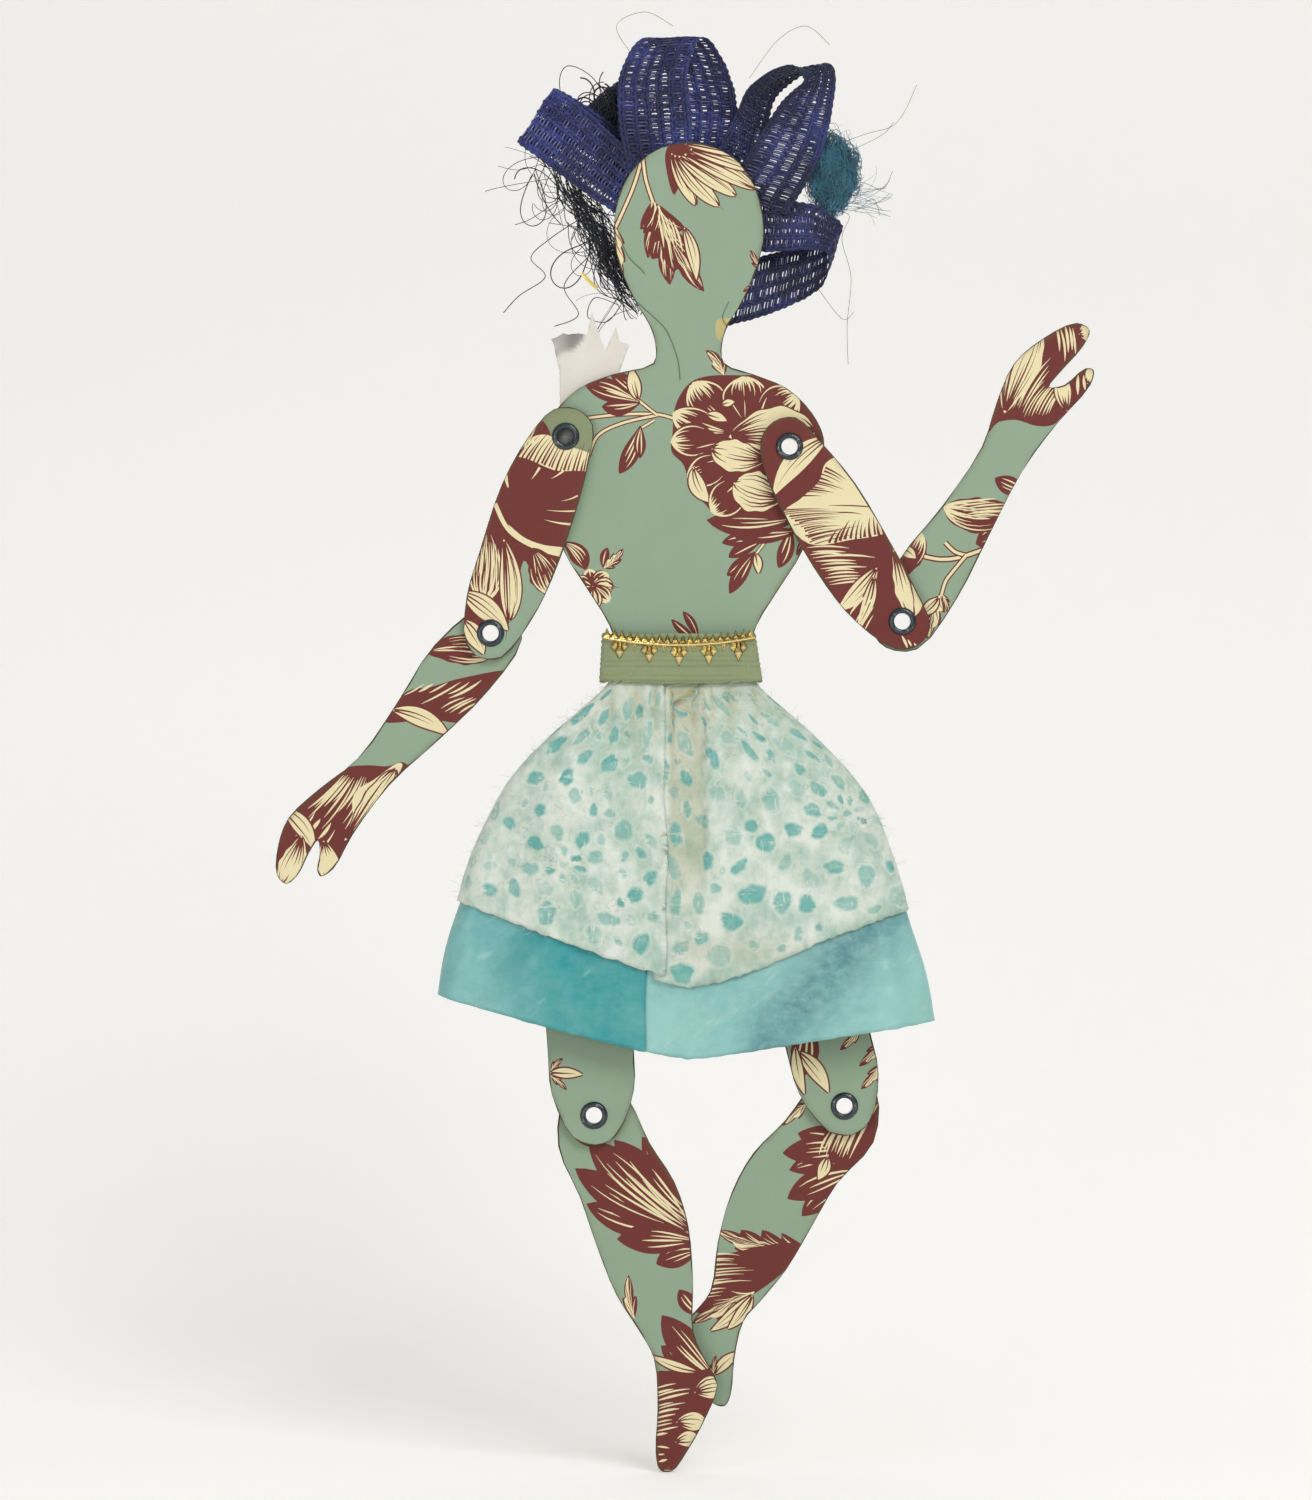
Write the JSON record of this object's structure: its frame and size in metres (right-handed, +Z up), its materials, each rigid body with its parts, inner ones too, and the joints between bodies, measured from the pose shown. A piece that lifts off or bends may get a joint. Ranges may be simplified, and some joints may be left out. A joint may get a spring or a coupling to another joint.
{
  "type": "jointed paper doll",
  "caption": "Jointed paper doll of card faced with floral paper, with eyelet joints at the limbs, ribbon and thread hair, a gold-trimmed waistband and a lace skirt over tissue.",
  "frame": {"origin": "back face of the torso board, at the small of the back, on the body's middle line", "axes": "+Z up towards the head, -Y out of the printed front, +X to the viewer's right"},
  "size_m": [0.1717, 0.0266, 0.3022],
  "materials": {
    "board": "matt chipboard, edges inked dark brown",
    "printed_paper": "matt sage paper printed with an engraved floral",
    "eyelet": "glossy dark teal enamel",
    "ribbon": "open-knit navy and purple ribbon",
    "tissue": "mottled turquoise tissue paper",
    "lace_paper": "fibrous white lace paper",
    "crepe_paper": "crinkled khaki crepe paper",
    "gold_foil": "embossed gold foil",
    "thread": "loose black thread",
    "wool": "fuzzy teal wool",
    "cream_paper": "translucent cream paper"
  },
  "bodies": {
    "torso": {"torso_board": "board", "torso_paper": "printed_paper", "waistband": "crepe_paper", "gold_trim": "gold_foil", "underskirt": "tissue", "overskirt": "lace_paper", "hair_ribbon_top": "ribbon", "hair_ribbon_left": "ribbon", "hair_ribbon_back": "ribbon", "hair_ribbon_right_upper": "ribbon", "hair_ribbon_right_lower": "ribbon", "thread_wad": "thread", "wool_tuft": "wool", "cream_scrap": "cream_paper"},
    "upper_arm_left": {"upper_arm_left_board": "board", "upper_arm_left_paper": "printed_paper", "eyelet_shoulder_left": "eyelet", "eyelet_elbow_left": "eyelet"},
    "forearm_left": {"forearm_left_board": "board", "forearm_left_paper": "printed_paper"},
    "thigh_left": {"thigh_left_board": "board", "thigh_left_paper": "printed_paper", "eyelet_hip_left": "eyelet", "eyelet_knee_left": "eyelet"},
    "shin_left": {"shin_left_board": "board", "shin_left_paper": "printed_paper"},
    "upper_arm_right": {"upper_arm_right_board": "board", "upper_arm_right_paper": "printed_paper", "eyelet_shoulder_right": "eyelet", "eyelet_elbow_right": "eyelet"},
    "forearm_right": {"forearm_right_board": "board", "forearm_right_paper": "printed_paper"},
    "thigh_right": {"thigh_right_board": "board", "thigh_right_paper": "printed_paper", "eyelet_hip_right": "eyelet", "eyelet_knee_right": "eyelet"},
    "shin_right": {"shin_right_board": "board", "shin_right_paper": "printed_paper"}
  },
  "joints": [
    {"name": "shoulder_left", "type": "hinge", "parent": "torso", "child": "upper_arm_left", "pos_m": [-0.0246, 0, 0.0321], "axis": [0, 1, 0], "range_deg": [-5, 95]},
    {"name": "elbow_left", "type": "hinge", "parent": "upper_arm_left", "child": "forearm_left", "pos_m": [-0.04033, 0, -0.0091], "axis": [0, 1, 0], "range_deg": [-10, 85]},
    {"name": "hip_left", "type": "hinge", "parent": "torso", "child": "thigh_left", "pos_m": [-0.0216, 0, -0.0502], "axis": [0, 1, 0], "range_deg": [-8, 18]},
    {"name": "knee_left", "type": "hinge", "parent": "thigh_left", "child": "shin_left", "pos_m": [-0.01867, 0, -0.11013], "axis": [0, 1, 0], "range_deg": [-24, 75]},
    {"name": "shoulder_right", "type": "hinge", "parent": "torso", "child": "upper_arm_right", "pos_m": [0.0223, 0, 0.03], "axis": [0, -1, 0], "range_deg": [-5, 45]},
    {"name": "elbow_right", "type": "hinge", "parent": "upper_arm_right", "child": "forearm_right", "pos_m": [0.04592, 0, -0.00665], "axis": [0, -1, 0], "range_deg": [-115, 10]},
    {"name": "hip_right", "type": "hinge", "parent": "torso", "child": "thigh_right", "pos_m": [0.0193, 0, -0.0502], "axis": [0, -1, 0], "range_deg": [-15, 6]},
    {"name": "knee_right", "type": "hinge", "parent": "thigh_right", "child": "shin_right", "pos_m": [0.03392, 0, -0.10839], "axis": [0, -1, 0], "range_deg": [-25, 75]}
  ]
}
